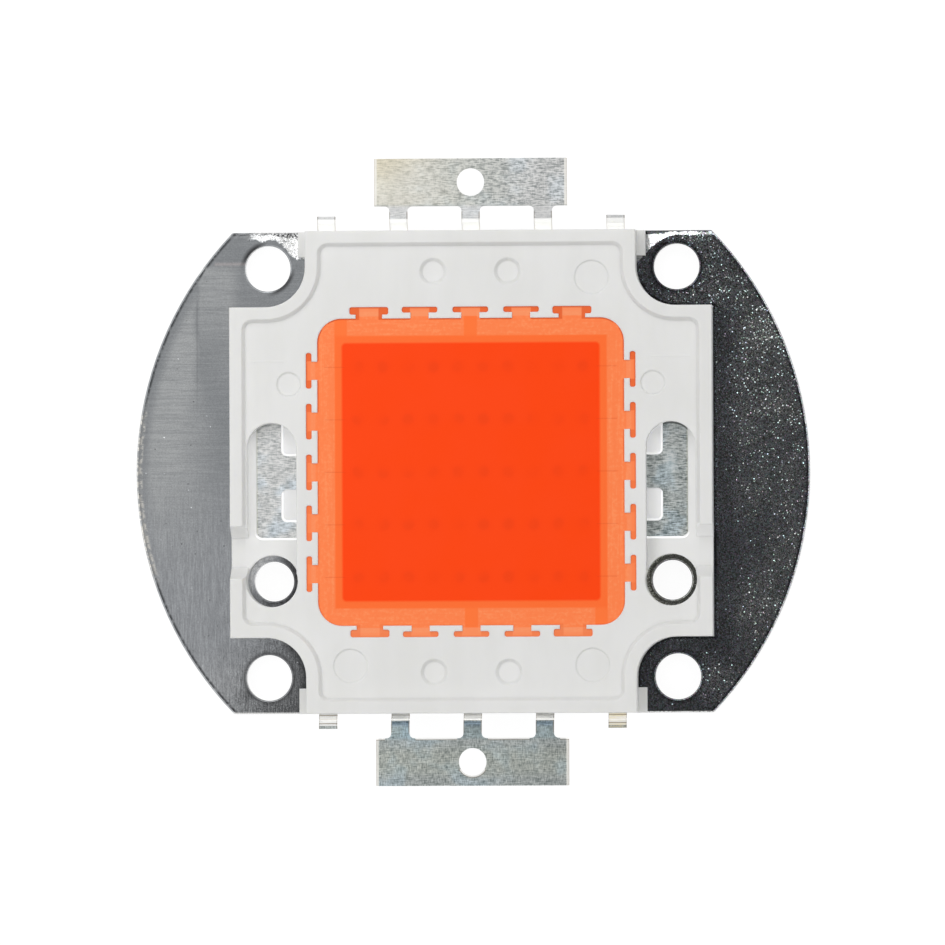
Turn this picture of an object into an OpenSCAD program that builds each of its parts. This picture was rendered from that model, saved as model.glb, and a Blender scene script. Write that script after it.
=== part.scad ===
// High-power LED chip with a plated copper base plate, an insert-moulded white frame,
// two stamped leads and a square well of phosphor gel over rows of LED dies.
// Millimetres. Z is up and the origin is the centre of the base plate's underside.

/* [Base plate] */
// Depth of the base plate between its flat edges, which is also the side of the frame square
base_depth = 40; // [40:0.5:44]
// How far each rounded end of the base plate stands out past the frame square
wing_reach = 8; // [7:0.1:12]
// Thickness of the base plate
base_thick = 1.5; // [1:0.1:3]
// How far past the middle the arc of each rounded end has its centre
arc_shift = 0.8; // [0:0.1:4]
// Distance from each corner hole to the two nearest sides of the frame square
hole_edge = 3; // [2.6:0.1:3.4]
// Diameter of the corner holes
corner_hole_d = 3.8; // [2.4:0.1:4.2]

/* [Moulded frame] */
// Height of the rim above the base plate
frame_rise = 2.8; // [2.4:0.1:5]
// Width of the flat top of the rim
rim_width = 1; // [0.6:0.05:1.2]
// Height of the slope between the rim and the land inside it
rim_slope = 0.4; // [0.2:0.05:0.5]
// Width of that slope
rim_slope_run = 0.28; // [0.2:0.02:0.5]
// Radius of the quarter notches round the corner holes
notch_radius = 3.3; // [2.8:0.1:3.6]
// Radius of the rim's inner corners
rim_corner = 0.9; // [0.6:0.05:1.4]
// Width of the low ear beside each notch
ear_width = 0.75; // [0.4:0.05:1]
// Length of the low ears along the frame's side
ear_length = 2.1; // [1:0.1:2.6]
// Height of the low ears above the base plate
ear_rise = 0.4; // [0.2:0.05:1]

/* [Anchors of the frame in the base plate] */
// Diameter of the anchor holes at the top of the base plate
anchor_d = 2; // [1.2:0.1:2.6]
// Diameter of the anchor holes at the underside
anchor_sink_d = 3; // [2.7:0.1:3.6]
// Depth of the anchors' tapered part
anchor_sink_depth = 0.6; // [0.3:0.05:0.8]
// Depth of the anchors' ends inside the underside of the base plate
anchor_recess = 0.1; // [0.05:0.05:0.2]

/* [Light well] */
// Side of the well that holds the gel
well_size = 25.45; // [25:0.05:25.9]
// Radius of the well's corners
well_corner = 2; // [1:0.1:3]
// Side of the deeper cavity over the dies
cavity_size = 21.4; // [21:0.1:21.8]
// Radius of the cavity's corners
cavity_corner = 0.35; // [0.1:0.05:0.6]
// Width of the moulded lip between the cavity and the leads
lip_width = 0.6; // [0.3:0.05:0.8]
// Radius of the lip's outer corners and of the inner corner of each lead
lip_corner = 0.8; // [0.4:0.1:1.2]
// Drop from the top of the leads to the lip
lip_drop = 0.2; // [0.1:0.05:0.3]
// Drop from the land to the top of the gel
gel_drop = 0.1; // [0.05:0.05:0.4]
// Distance from the corner of the well's square to the middle of the first keyed recess
key_margin = 4.3; // [4:0.05:4.5]
// Width of the head of a key
key_head = 2.95; // [2.4:0.05:3.4]
// Depth of the head of a key
key_head_depth = 0.47; // [0.3:0.01:0.6]
// Radius of the corners of the head of a key
key_corner = 0.18; // [0.12:0.01:0.22]
// Width of the neck of a key
key_neck = 1.5; // [1:0.1:2.2]
// Length of the neck of a key
key_neck_length = 0.48; // [0.36:0.02:0.5]
// Extra width of the head of the keys nearest the corners, on the two lead sides
end_key_extra = 0.28; // [0:0.02:0.3]
// Width of the neck of those keys
end_key_neck = 2.2; // [1.8:0.1:2.6]
// Length of the neck of those keys
end_key_neck_length = 0.33; // [0.2:0.01:0.34]

/* [Leads] */
// Thickness of the lead sheet
lead_thick = 0.4; // [0.2:0.05:0.6]
// Height of the lead sheet's underside above the base plate
lead_lift = 0.6; // [0.4:0.05:0.9]
// How far a lead's bars run past the necks of the keys, under their heads
bar_step = 0.08; // [0.04:0.01:0.14]
// Gap between the two leads and between their separate bars
bar_gap = 1.1; // [0.6:0.05:1.4]
// Width of the legs and of the tie stubs
leg_width = 1.5; // [1:0.1:2]
// Distance between the legs
leg_pitch = 6; // [5:0.1:6.8]
// Length of a tab
tab_length = 16; // [15.6:0.1:20]
// Depth of a tab
tab_depth = 3.95; // [3:0.05:6]
// Distance from the frame to a tab
tab_reach = 2.05; // [1.8:0.05:4]
// Diameter of the hole in a tab
tab_hole_d = 2.3; // [1:0.1:2.6]
// Radius of the fillets between the legs and the tab
leg_fillet = 0.4; // [0.2:0.05:0.5]
// Rise of the legs from the frame to the tab
leg_rise = 0.6; // [0.5:0.05:0.8]
// Angle of the bends in the legs and the stubs
bend_angle = 45; // [35:1:55]
// Inner radius of the bends
bend_radius = 0.2; // [0.1:0.05:0.3]
// Straight length of the legs and the stubs before the first bend
bend_start = 0.05; // [0.02:0.01:0.15]
// Distance that the tie stubs stand out of the frame
stub_reach = 1.25; // [1.2:0.05:2]
// Rise of the tie stubs
stub_rise = 0.3; // [0.26:0.02:0.4]

/* [Side pockets and lens holes] */
// Distance from the frame's side to the centre line of a pocket
pocket_inset = 3.45; // [3.3:0.05:3.55]
// Width of a pocket
pocket_width = 4.1; // [3.6:0.05:4.2]
// Distance from the middle to the centre of a pocket's round end
pocket_end = 2.05; // [1.6:0.05:2.8]
// Width of the contact strip in a pocket
strip_width = 2.05; // [1.6:0.05:2.3]
// Distance from the strip to the pocket's outer wall
strip_margin = 0.7; // [0.3:0.05:0.9]
// Length of the strip that the frame covers past the pocket's round end
strip_bury = 0.4; // [0.2:0.05:0.8]
// Radius of the strip's rounded corners
strip_fillet = 0.5; // [0.2:0.05:0.5]
// Distance from the middle to the strip's lower end
strip_end = 5.4; // [5:0.1:5.8]
// Width of the strip's middle finger
middle_finger = 2.75; // [2:0.05:3]
// Width of the strip's end finger
end_finger = 1.3; // [1:0.05:1.5]
// Distance from the middle to the lens holes
lens_hole_y = 9; // [8.6:0.1:9.4]
// Diameter of the lens holes in the base plate
lens_hole_d = 3.3; // [2.4:0.1:3.8]
// Diameter of the bores in the frame over the lens holes
lens_bore_d = 4.3; // [4.2:0.05:4.6]
// Upper end of the gap in the rim beside a lens hole, from the middle
rim_gap_start = 4.45; // [4.2:0.05:4.8]
// Length of the gap in the rim
rim_gap_length = 4.35; // [3.6:0.05:4.4]
// Length of the ramps at both ends of the gap
rim_gap_ramp = 0.95; // [0.6:0.05:1.2]

/* [Ejector marks] */
// Diameter of the small marks
small_mark_d = 2.25; // [1.6:0.05:2.4]
// Depth of the small marks
small_mark_depth = 0.28; // [0.1:0.01:0.35]
// Distance from the middle to the small marks along the lead sides
small_mark_x = 3.1; // [2.6:0.1:4.4]
// Distance from the frame's edge to the small marks
small_mark_inset = 3.4; // [3.2:0.05:3.8]
// Diameter of the large marks
large_mark_d = 2.9; // [2.4:0.05:3.1]
// Depth of the large marks
large_mark_depth = 0.1; // [0.05:0.01:0.2]
// Distance from the middle to the large marks along the lead sides
large_mark_x = 10.05; // [9:0.05:10.2]
// Distance from the frame's edge to the large marks
large_mark_inset = 3.95; // [3.6:0.05:4.1]
// Diameter of the marks above the pockets
side_mark_d = 2.1; // [1.6:0.05:2.3]
// Depth of the marks above the pockets
side_mark_depth = 0.13; // [0.05:0.01:0.2]
// Distance from the middle to the marks above the pockets
side_mark_y = 7.3; // [7:0.1:9]
// Distance from the frame's side to the marks above the pockets
side_mark_inset = 4.9; // [4.2:0.05:4.9]
// Width of the sloped edge of a mark, as a share of its depth
mark_flare = 0.9; // [0.5:0.1:1.5]

/* [Dies] */
// Number of dies along a row
die_columns = 10; // [4:1:10]
// Distance from the cavity's wall to the ends of a row
die_margin = 0.86; // [0.6:0.02:1.2]
// Distance from the cavity's wall to the first row
row_margin = 1.5; // [1:0.05:3]
// Side of a die
die_size = 1; // [0.8:0.05:1.1]
// Thickness of a die
die_thick = 0.15; // [0.1:0.01:0.25]
// Thickness of the silver epoxy under a die
epoxy_thick = 0.05; // [0.02:0.01:0.1]
// Width of the epoxy that shows round a die
epoxy_margin = 0.06; // [0.02:0.01:0.1]
// Diameter of the bond wires
wire_d = 0.04; // [0.03:0.005:0.06]
// Height of the loop of a bond wire
wire_loop = 0.3; // [0.2:0.02:0.4]
// Height of the loop of the wires to the leads
end_wire_loop = 0.5; // [0.45:0.05:0.7]
// Diameter of the bonds at the ends of the wires
bond_d = 0.12; // [0.1:0.01:0.16]
// Height of those bonds
bond_rise = 0.06; // [0.05:0.01:0.08]
// Distance from a die's edge to its bonds
bond_inset = 0.15; // [0.1:0.01:0.3]

/* [Hidden] */

$fn = 48;
row_count = 5;
keys_per_side = 5;
legs_per_tab = 3;
bend_steps = 5;
// Small overrun of cuts through open faces
cut = 0.5;

// Plan of the base plate and the frame
base_width = base_depth + 2 * wing_reach;
end_radius = base_width / 2 + arc_shift;
frame_half = base_depth / 2;
corner_hole = frame_half - hole_edge;
arm_half = corner_hole - notch_radius;

// Levels
lead_z = base_thick + lead_lift;
lead_top = lead_z + lead_thick;
lip_z = lead_top - lip_drop;
rim_z = base_thick + frame_rise;
land_z = rim_z - rim_slope;
gel_z = land_z - gel_drop;
die_z = base_thick + epoxy_thick;
die_top = die_z + die_thick;

// Plan of the well, the dies and the leads
well_half = well_size / 2;
key_pitch = (well_size - 2 * key_margin) / (keys_per_side - 1);
column_pitch = (cavity_size - 2 * die_margin - die_size) / (die_columns - 1);
row_pitch = (cavity_size - 2 * row_margin - die_size) / (row_count - 1);
cavity_half = cavity_size / 2;
bar_inner = cavity_half + lip_width;
bar_outer = well_half + key_neck_length + bar_step;
bar_width = bar_outer - bar_inner;
bar_middle = (bar_inner + well_half) / 2;
leg_span = (legs_per_tab - 1) * leg_pitch;
link_y = (bar_outer + frame_half) / 2;
tab_y = frame_half + tab_reach;
pocket_x = frame_half - pocket_inset;
small_mark_y = frame_half - small_mark_inset;
large_mark_y = frame_half - large_mark_inset;
side_mark_x = frame_half - side_mark_inset;

// A square with rounded corners, centred
module rounded_square(width, depth, radius) {
    square([width - 2 * radius, depth], center = true);
    square([width, depth - 2 * radius], center = true);
    for (x = [-1, 1], y = [-1, 1]) {
        translate([x * (width / 2 - radius), y * (depth / 2 - radius)])
            circle(r = radius);
    }
}

// The concave quarter between two edges that meet at right angles
module inner_fillet(radius) {
    difference() {
        square(radius);
        translate([radius, radius])
            circle(r = radius);
    }
}

// Copies of a child at the four corner holes
module at_corners() {
    for (x = [-1, 1], y = [-1, 1]) {
        translate([x * corner_hole, y * corner_hole, 0])
            children();
    }
}

// Copies of a child on the right and, mirrored, on the left
module on_both_sides() {
    children();
    mirror([1, 0, 0])
        children();
}

// Places of the six anchors, under ejector marks
module at_anchors() {
    for (x = [-1, 1], y = [-1, 1]) {
        translate([x * large_mark_x, y * large_mark_y, 0])
            children();
    }
    for (x = [-1, 1]) {
        translate([x * side_mark_x, side_mark_y, 0])
            children();
    }
}

// An anchor, narrow at the top of the base plate and tapered out to the underside
module anchor() {
    cylinder(d1 = anchor_sink_d, d2 = anchor_d, h = anchor_sink_depth);
    translate([0, 0, anchor_sink_depth])
        cylinder(d = anchor_d, h = base_thick - anchor_sink_depth);
}

// Base plate: a stamped copper plate with rounded ends
module base_outline() {
    intersection() {
        square([base_width + 2 * cut, base_depth], center = true);
        translate([arc_shift, 0])
            circle(r = end_radius, $fn = 180);
        translate([-arc_shift, 0])
            circle(r = end_radius, $fn = 180);
    }
}

module base_plate() {
    color("lightslategray")
        difference() {
            linear_extrude(base_thick)
                base_outline();
            at_corners()
                translate([0, 0, -cut])
                    cylinder(d = corner_hole_d, h = base_thick + 2 * cut);
            on_both_sides()
                translate([pocket_x, -lens_hole_y, -cut])
                    cylinder(d = lens_hole_d, h = base_thick + 2 * cut);
            at_anchors()
                anchor();
        }
}

// Moulded frame: a cross whose four inner corners are notched round the corner holes
module cross_outline() {
    difference() {
        square(2 * frame_half, center = true);
        at_corners()
            circle(r = notch_radius);
        for (x = [-1, 1], y = [-1, 1]) {
            scale([x, y]) {
                translate([corner_hole, arm_half])
                    square(frame_half);
                translate([arm_half, corner_hole])
                    square(frame_half);
            }
        }
    }
}

// A rounded bar whose sides slope out from the land to the rim
module sloped_bar(half_x, half_y) {
    for (turn = [0, 1]) {
        across = turn == 0 ? half_y : half_x;
        along = (turn == 0 ? half_x : half_y) - rim_corner;
        rotate([0, 0, 90 * turn])
            rotate([90, 0, 90])
                translate([0, 0, -along])
                    linear_extrude(2 * along)
                        polygon([
                            [rim_slope_run - across, 0],
                            [across - rim_slope_run, 0],
                            [across, rim_slope],
                            [-across, rim_slope]
                        ]);
    }
    for (x = [-1, 1], y = [-1, 1]) {
        translate([x * (half_x - rim_corner), y * (half_y - rim_corner), 0])
            cylinder(r1 = rim_corner - rim_slope_run, r2 = rim_corner, h = rim_slope);
    }
}

// The space over the land, inside the rim
module land_space() {
    length = frame_half - rim_width;
    arm = arm_half - rim_width;
    bend = corner_hole - arm;
    translate([0, 0, land_z]) {
        sloped_bar(length, arm);
        sloped_bar(arm, length);
        difference() {
            translate([-corner_hole, -corner_hole, 0])
                cube([2 * corner_hole, 2 * corner_hole, rim_slope]);
            at_corners()
                cylinder(r1 = bend + rim_slope_run, r2 = bend, h = rim_slope);
        }
    }
}

// A keyed recess in the well's wall, which holds the gel in place
module key(head, neck, neck_length, depth) {
    head_depth = depth - neck_length;
    corner = min(head_depth / 2, key_corner);
    translate([-neck / 2, -cut])
        square([neck, cut + neck_length + head_depth / 2]);
    translate([0, neck_length + head_depth / 2])
        rounded_square(head, head_depth, corner);
}

module well_outline() {
    depth = key_neck_length + key_head_depth;
    middle = (keys_per_side - 1) / 2;
    rounded_square(well_size, well_size, well_corner);
    for (side = [0:3], place = [-middle:middle]) {
        at_end = side % 2 == 0 && abs(place) == middle;
        rotate(90 * side)
            translate([place * key_pitch, well_half])
                key(
                    key_head + (at_end ? end_key_extra : 0),
                    at_end ? end_key_neck : key_neck,
                    at_end ? end_key_neck_length : key_neck_length,
                    depth
                );
    }
}

// The space that the gel fills, up to a given height
module well_space(top) {
    translate([0, 0, lead_top])
        linear_extrude(top - lead_top)
            well_outline();
    translate([0, 0, lip_z])
        linear_extrude(lead_top - lip_z)
            rounded_square(2 * bar_inner, 2 * bar_inner, lip_corner);
    translate([0, 0, base_thick])
        linear_extrude(lip_z - base_thick)
            rounded_square(cavity_size, cavity_size, cavity_corner);
}

// The pocket over the contact strip, open through the rim beside the lens hole
module right_pocket() {
    translate([pocket_x, 0, lead_top])
        linear_extrude(frame_rise) {
            translate([0, pocket_end])
                circle(d = pocket_width);
            translate([-pocket_width / 2, -lens_hole_y])
                square([pocket_width, lens_hole_y + pocket_end]);
        }
    translate([pocket_x, -lens_hole_y, base_thick])
        cylinder(d = lens_bore_d, h = frame_rise + cut);
    translate([pocket_x, -rim_gap_start, lead_top])
        rotate([90, 0, 90])
            linear_extrude(pocket_inset + cut)
                polygon([
                    [-rim_gap_ramp, 0],
                    [0, rim_z - lead_top],
                    [0, rim_z + cut - lead_top],
                    [-rim_gap_length, rim_z + cut - lead_top],
                    [-rim_gap_length, rim_z - lead_top],
                    [rim_gap_ramp - rim_gap_length, 0]
                ]);
}

// A shallow round mark in the land, with a sloped edge
module ejector_mark(diameter, depth) {
    flare = 2 * mark_flare * depth;
    translate([0, 0, land_z - depth])
        cylinder(d1 = diameter - flare, d2 = diameter + flare, h = 2 * depth);
}

module ejector_marks() {
    for (x = [-1, 1], y = [-1, 1]) {
        translate([x * small_mark_x, y * small_mark_y, 0])
            ejector_mark(small_mark_d, small_mark_depth);
    }
    for (place = [[1, 1], [1, -1], [-1, -1]]) {
        translate([place.x * large_mark_x, place.y * large_mark_y, 0])
            ejector_mark(large_mark_d, large_mark_depth);
    }
    for (x = [-1, 1]) {
        translate([x * side_mark_x, side_mark_y, 0])
            ejector_mark(side_mark_d, side_mark_depth);
    }
}

// Low ears beside the notches, at the frame's two lead sides
module ears() {
    for (x = [-1, 1], y = [-1, 1]) {
        scale([x, y, 1])
            translate([arm_half - cut, frame_half - ear_length, base_thick])
                cube([ear_width + cut, ear_length, ear_rise]);
    }
}

module moulded_frame() {
    color("whitesmoke")
        difference() {
            union() {
                translate([0, 0, base_thick])
                    linear_extrude(frame_rise)
                        cross_outline();
                ears();
                at_anchors()
                    anchor();
            }
            land_space();
            well_space(rim_z);
            on_both_sides()
                right_pocket();
            ejector_marks();
            at_anchors()
                translate([0, 0, anchor_recess - cut])
                    cylinder(d = anchor_sink_d + cut, h = cut);
            lead_pair();
        }
}

// Leads: stamped sheet with a Z bend where the legs leave the frame
// Points along an arc
function arc(centre, radius, from, to) = [
    for (step = [0:bend_steps])
        let (angle = from + (to - from) * step / bend_steps)
            centre + radius * [cos(angle), sin(angle)]
];

// Profile of a strip that runs flat, bends up by the rise and runs flat to the end
module bent_profile(from, start, rise, end) {
    outer = bend_radius + lead_thick;
    slope = (rise - (bend_radius + outer) * (1 - cos(bend_angle))) / sin(bend_angle);
    run = (bend_radius + outer) * sin(bend_angle) + slope * cos(bend_angle);
    first = [start, outer];
    second = [start + run, rise - bend_radius];
    polygon(concat(
        [[from, 0]],
        arc(first, outer, -90, bend_angle - 90),
        arc(second, bend_radius, 90 + bend_angle, 90),
        [[end, rise], [end, rise + lead_thick]],
        arc(second, outer, 90, 90 + bend_angle),
        arc(first, bend_radius, bend_angle - 90, -90),
        [[from, lead_thick]]
    ));
}

// A bent strip along Y at a given X
module bent_strip(x, from, rise, end) {
    translate([x - leg_width / 2, 0, lead_z])
        rotate([90, 0, 90])
            linear_extrude(leg_width)
                bent_profile(from, frame_half + bend_start, rise, end);
}

// The flat part of the upper lead inside the frame
module upper_sheet() {
    // Bar along the right side of the well
    translate([bar_inner, -bar_outer])
        square([bar_width, 2 * bar_outer]);
    translate([bar_inner, bar_inner])
        rotate(180)
            inner_fillet(lip_corner);
    // Bars along the upper side, on both sides of the middle gap
    translate([bar_gap / 2, bar_inner])
        square([bar_outer - bar_gap / 2, bar_width]);
    translate([bar_gap - bar_inner, bar_inner])
        square([bar_inner - 1.5 * bar_gap, bar_width]);
    // Link between the three legs
    translate([-leg_span / 2, link_y - leg_width / 2])
        square([leg_span, leg_width]);
    // Outer legs, down to the bars
    for (x = [-1, 1]) {
        translate([x * leg_span / 2 - leg_width / 2, bar_outer])
            square([leg_width, link_y + leg_width / 2 - bar_outer]);
    }
}

// The tab with its hole and the fillets where the legs meet it
module tab_outline() {
    difference() {
        union() {
            translate([-tab_length / 2, tab_y])
                square([tab_length, tab_depth]);
            for (leg = [0:legs_per_tab - 1], side = [-1, 1]) {
                translate([leg * leg_pitch - leg_span / 2 + side * leg_width / 2, tab_y])
                    scale([side, -1])
                        inner_fillet(leg_fillet);
            }
        }
        translate([0, tab_y + tab_depth / 2])
            circle(d = tab_hole_d);
    }
}

// The lead without its contact strip, the same for both leads
module lead_body() {
    translate([0, 0, lead_z])
        linear_extrude(lead_thick)
            upper_sheet();
    for (leg = [0:legs_per_tab - 1]) {
        bent_strip(leg * leg_pitch - leg_span / 2, link_y, leg_rise, tab_y);
    }
    translate([0, 0, lead_z + leg_rise])
        linear_extrude(lead_thick)
            tab_outline();
    // Tie stubs at both ends of the side bar
    bent_strip(bar_middle, bar_outer, stub_rise, frame_half + stub_reach);
    mirror([0, 1, 0])
        bent_strip(bar_middle, bar_outer, stub_rise, frame_half + stub_reach);
}

// The contact strip in the right pocket, with two fingers from the side bar
module contact_strip() {
    outer_x = pocket_x + pocket_width / 2 - strip_margin;
    inner_x = outer_x - strip_width;
    top_y = pocket_end + pocket_width / 2 + strip_bury;
    translate([0, 0, lead_z])
        linear_extrude(lead_thick) {
            difference() {
                translate([inner_x, -strip_end])
                    square([strip_width, top_y + strip_end]);
                translate([outer_x, -strip_end])
                    scale([-1, 1])
                        inner_fillet(strip_fillet);
            }
            translate([bar_outer, -middle_finger / 2])
                square([inner_x - bar_outer, middle_finger]);
            translate([bar_outer, -strip_end])
                square([inner_x - bar_outer, end_finger]);
            // Rounded corners between the fingers and the strip
            for (corner = [
                [middle_finger / 2, 1],
                [-middle_finger / 2, -1],
                [end_finger - strip_end, 1]
            ]) {
                translate([inner_x, corner[0]])
                    scale([-1, corner[1]])
                        inner_fillet(strip_fillet);
            }
        }
}

module upper_lead() {
    color("silver") {
        lead_body();
        contact_strip();
    }
}

module lower_lead() {
    color("silver") {
        rotate([0, 0, 180])
            lead_body();
        mirror([1, 0, 0])
            contact_strip();
    }
}

module lead_pair() {
    upper_lead();
    lower_lead();
}

// Dies: rows of square LED dies on silver epoxy, wired in series from bar to bar
function row_y(row) = ((row_count + 1) / 2 - row) * row_pitch;
function die_x(column) = (column - (die_columns - 1) / 2) * column_pitch;

module die_epoxy(row) {
    side = die_size + 2 * epoxy_margin;
    color("gainsboro")
        for (column = [0:die_columns - 1]) {
            translate([die_x(column) - side / 2, row_y(row) - side / 2, base_thick])
                cube([side, side, epoxy_thick]);
        }
}

module die_row(row) {
    color("steelblue")
        for (column = [0:die_columns - 1]) {
            translate([die_x(column) - die_size / 2, row_y(row) - die_size / 2, die_z])
                cube([die_size, die_size, die_thick]);
        }
}

// One bond wire, looped between two bonds given as [x, z]
module bond_wire(left, right, loop) {
    rise = bond_rise / 2;
    span = norm(right - left);
    lean = atan2(right.y - left.y, right.x - left.x);
    bow = (span * span / 4 + loop * loop) / (2 * loop);
    half_turn = asin(span / 2 / bow);
    for (end = [left, right]) {
        translate([end.x, 0, end.y])
            cylinder(d = bond_d, h = bond_rise);
    }
    translate([(left.x + right.x) / 2, 0, (left.y + right.y) / 2 + rise])
        rotate([0, -lean, 0])
            translate([0, 0, loop - bow])
                rotate([90, 0, 0])
                    rotate([0, 0, 90 - half_turn])
                        rotate_extrude(angle = 2 * half_turn)
                            translate([bow, 0])
                                circle(d = wire_d, $fn = 16);
}

module bond_wires(row) {
    pad = die_size / 2 - bond_inset;
    last = die_columns - 1;
    color("gold")
        translate([0, row_y(row), 0]) {
            for (column = [1:last]) {
                bond_wire(
                    [die_x(column - 1) + pad, die_top],
                    [die_x(column) - pad, die_top],
                    wire_loop
                );
            }
            bond_wire([-bar_middle, lead_top], [die_x(0) - pad, die_top], end_wire_loop);
            bond_wire([die_x(last) + pad, die_top], [bar_middle, lead_top], end_wire_loop);
        }
}

// Phosphor gel: poured over the dies and the wires, level with the well's edge
module phosphor_gel() {
    color("orangered")
        difference() {
            well_space(gel_z);
            for (row = [1:row_count]) {
                die_epoxy(row);
                die_row(row);
                bond_wires(row);
            }
        }
}

base_plate();
moulded_frame();
upper_lead();
lower_lead();
for (row = [1:row_count]) {
    die_epoxy(row);
    die_row(row);
    bond_wires(row);
}
phosphor_gel();
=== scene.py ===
import math

import bpy
from mathutils import Matrix, Vector


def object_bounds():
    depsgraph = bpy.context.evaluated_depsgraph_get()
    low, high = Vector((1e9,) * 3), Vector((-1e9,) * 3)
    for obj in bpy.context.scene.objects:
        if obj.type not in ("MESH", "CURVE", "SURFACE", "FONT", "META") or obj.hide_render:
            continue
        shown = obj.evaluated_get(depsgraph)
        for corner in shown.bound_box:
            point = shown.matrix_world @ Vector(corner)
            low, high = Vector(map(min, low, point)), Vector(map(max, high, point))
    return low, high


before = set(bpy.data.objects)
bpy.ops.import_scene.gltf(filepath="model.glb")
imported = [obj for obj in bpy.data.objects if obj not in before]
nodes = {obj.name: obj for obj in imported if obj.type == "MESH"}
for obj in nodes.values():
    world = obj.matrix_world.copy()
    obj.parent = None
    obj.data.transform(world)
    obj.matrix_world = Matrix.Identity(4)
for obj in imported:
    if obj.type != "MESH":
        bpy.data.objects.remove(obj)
cad_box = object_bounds()

# Base plate.
# A plate of copper, stamped to its outline and holes, then nickel plated over faint brush lines.
# Everything else is moulded on it or stuck to it, and four screws hold it to a heat sink.


def put(tree, kind, inputs=None, **settings):
    """Add one shader node, with its settings and with values or links for its inputs."""
    made = tree.nodes.new("ShaderNode" + kind)
    for name, value in settings.items():
        setattr(made, name, value)
    for name, value in (inputs or {}).items():
        if isinstance(value, bpy.types.NodeSocket):
            tree.links.new(value, made.inputs[name])
        else:
            made.inputs[name].default_value = value
    return made


def work_out(tree, operation, *values):
    """One sum on values that change over the surface."""
    return put(tree, "Math", dict(enumerate(values)), operation=operation).outputs[0]


def times(tree, *values):
    """The product of several masks."""
    product = values[0]
    for value in values[1:]:
        product = work_out(tree, "MULTIPLY", product, value)
    return product


def most(tree, *values):
    """The largest of several masks."""
    largest = values[0]
    for value in values[1:]:
        largest = work_out(tree, "MAXIMUM", largest, value)
    return largest


def left_over(tree, share):
    """What a share leaves of the whole."""
    return work_out(tree, "SUBTRACT", 1.0, share)


def away_from(tree, value, line_mm):
    """How far a point lies from a line across the piece."""
    return work_out(tree, "ABSOLUTE", work_out(tree, "SUBTRACT", value, line_mm))


def distance(tree, point, middle_mm):
    """How far a point lies from another."""
    return put(tree, "VectorMath", {0: point, 1: middle_mm}, operation="DISTANCE").outputs["Value"]


def choose(tree, share, first, second):
    """Mix two values by a share that changes over the surface."""
    return put(tree, "Mix", {0: share, 2: first, 3: second}).outputs[0]


def spread(tree, value, from_low, from_high, to_low, to_high, kind="SMOOTHSTEP"):
    """Carry a value from one range to another."""
    limits = {"Value": value, "From Min": from_low, "From Max": from_high,
              "To Min": to_low, "To Max": to_high}
    return put(tree, "MapRange", limits, interpolation_type=kind).outputs["Result"]


def tint(tree, share, first, second, blend="MIX"):
    """Mix two colours by a share that changes over the surface."""
    mixed = put(tree, "Mix", data_type="RGBA", blend_type=blend)
    for socket, value in ((mixed.inputs[0], share), (mixed.inputs[6], first), (mixed.inputs[7], second)):
        if isinstance(value, bpy.types.NodeSocket):
            tree.links.new(value, socket)
        else:
            socket.default_value = value
    return mixed.outputs[2]


def bumps(tree, height, metres, below=None):
    """The normal of a surface with small heights on it, over the normal of a coarser one."""
    inputs = {"Height": height, "Distance": metres, "Strength": 1.0}
    if below is not None:
        inputs["Normal"] = below
    return put(tree, "Bump", inputs).outputs[0]


def new_effect(name, inputs, outputs):
    """An empty node group with named inputs and outputs."""
    effect = bpy.data.node_groups.new(name, "ShaderNodeTree")
    for label, kind in inputs.items():
        effect.interface.new_socket(label, in_out="INPUT", socket_type="NodeSocket" + kind)
    for label, kind in outputs.items():
        effect.interface.new_socket(label, in_out="OUTPUT", socket_type="NodeSocket" + kind)
    return effect, effect.nodes.new("NodeGroupInput").outputs, effect.nodes.new("NodeGroupOutput").inputs


def use(tree, effect, **inputs):
    """Place an effect in a material with its own values."""
    named = {label.replace("_", " "): value for label, value in inputs.items()}
    return put(tree, "Group", named, node_tree=effect).outputs


def new_finish(name):
    """A material with one Principled shader, and the millimetre position on the piece."""
    finish = bpy.data.materials.new(name)
    finish.use_nodes = True
    tree = finish.node_tree
    tree.nodes.clear()
    shader = put(tree, "BsdfPrincipled")
    put(tree, "OutputMaterial", {"Surface": shader.outputs[0]})
    where = put(tree, "TexCoord").outputs["Object"]
    where = put(tree, "VectorMath", {0: where, 1: (1000, 1000, 1000)}, operation="MULTIPLY").outputs[0]
    return finish, tree, shader, where


def dress(name, finish):
    """Give a piece its finish."""
    piece = nodes[name]
    piece.data.materials.clear()
    piece.data.materials.append(finish)
    return piece


def round_edges(piece, radius_mm, steps):
    """Round a stamped piece's edges over, as the punch leaves them."""
    weld = piece.modifiers.new("joined_faces", "WELD")
    weld.merge_threshold = 1e-6
    roll = piece.modifiers.new("rounded_edges", "BEVEL")
    roll.width = radius_mm / 1000
    roll.segments = steps
    roll.limit_method = "ANGLE"
    roll.angle_limit = math.radians(40)
    roll.harden_normals = True
    roll.loop_slide = False


# Lines left by a brush or a roller: noise drawn out along one way
brush_lines, given, result = new_effect(
    "Brush lines", {"Position": "Vector", "Lines per mm": "Vector"}, {"Lines": "Float"})
drawn_out = put(
    brush_lines, "VectorMath", {0: given["Position"], 1: given["Lines per mm"]}, operation="MULTIPLY")
streaks = put(
    brush_lines, "TexNoise",
    {"Vector": drawn_out.outputs[0], "Scale": 1.0, "Detail": 3.0, "Roughness": 0.6})
brush_lines.links.new(streaks.outputs["Fac"], result["Lines"])

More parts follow.
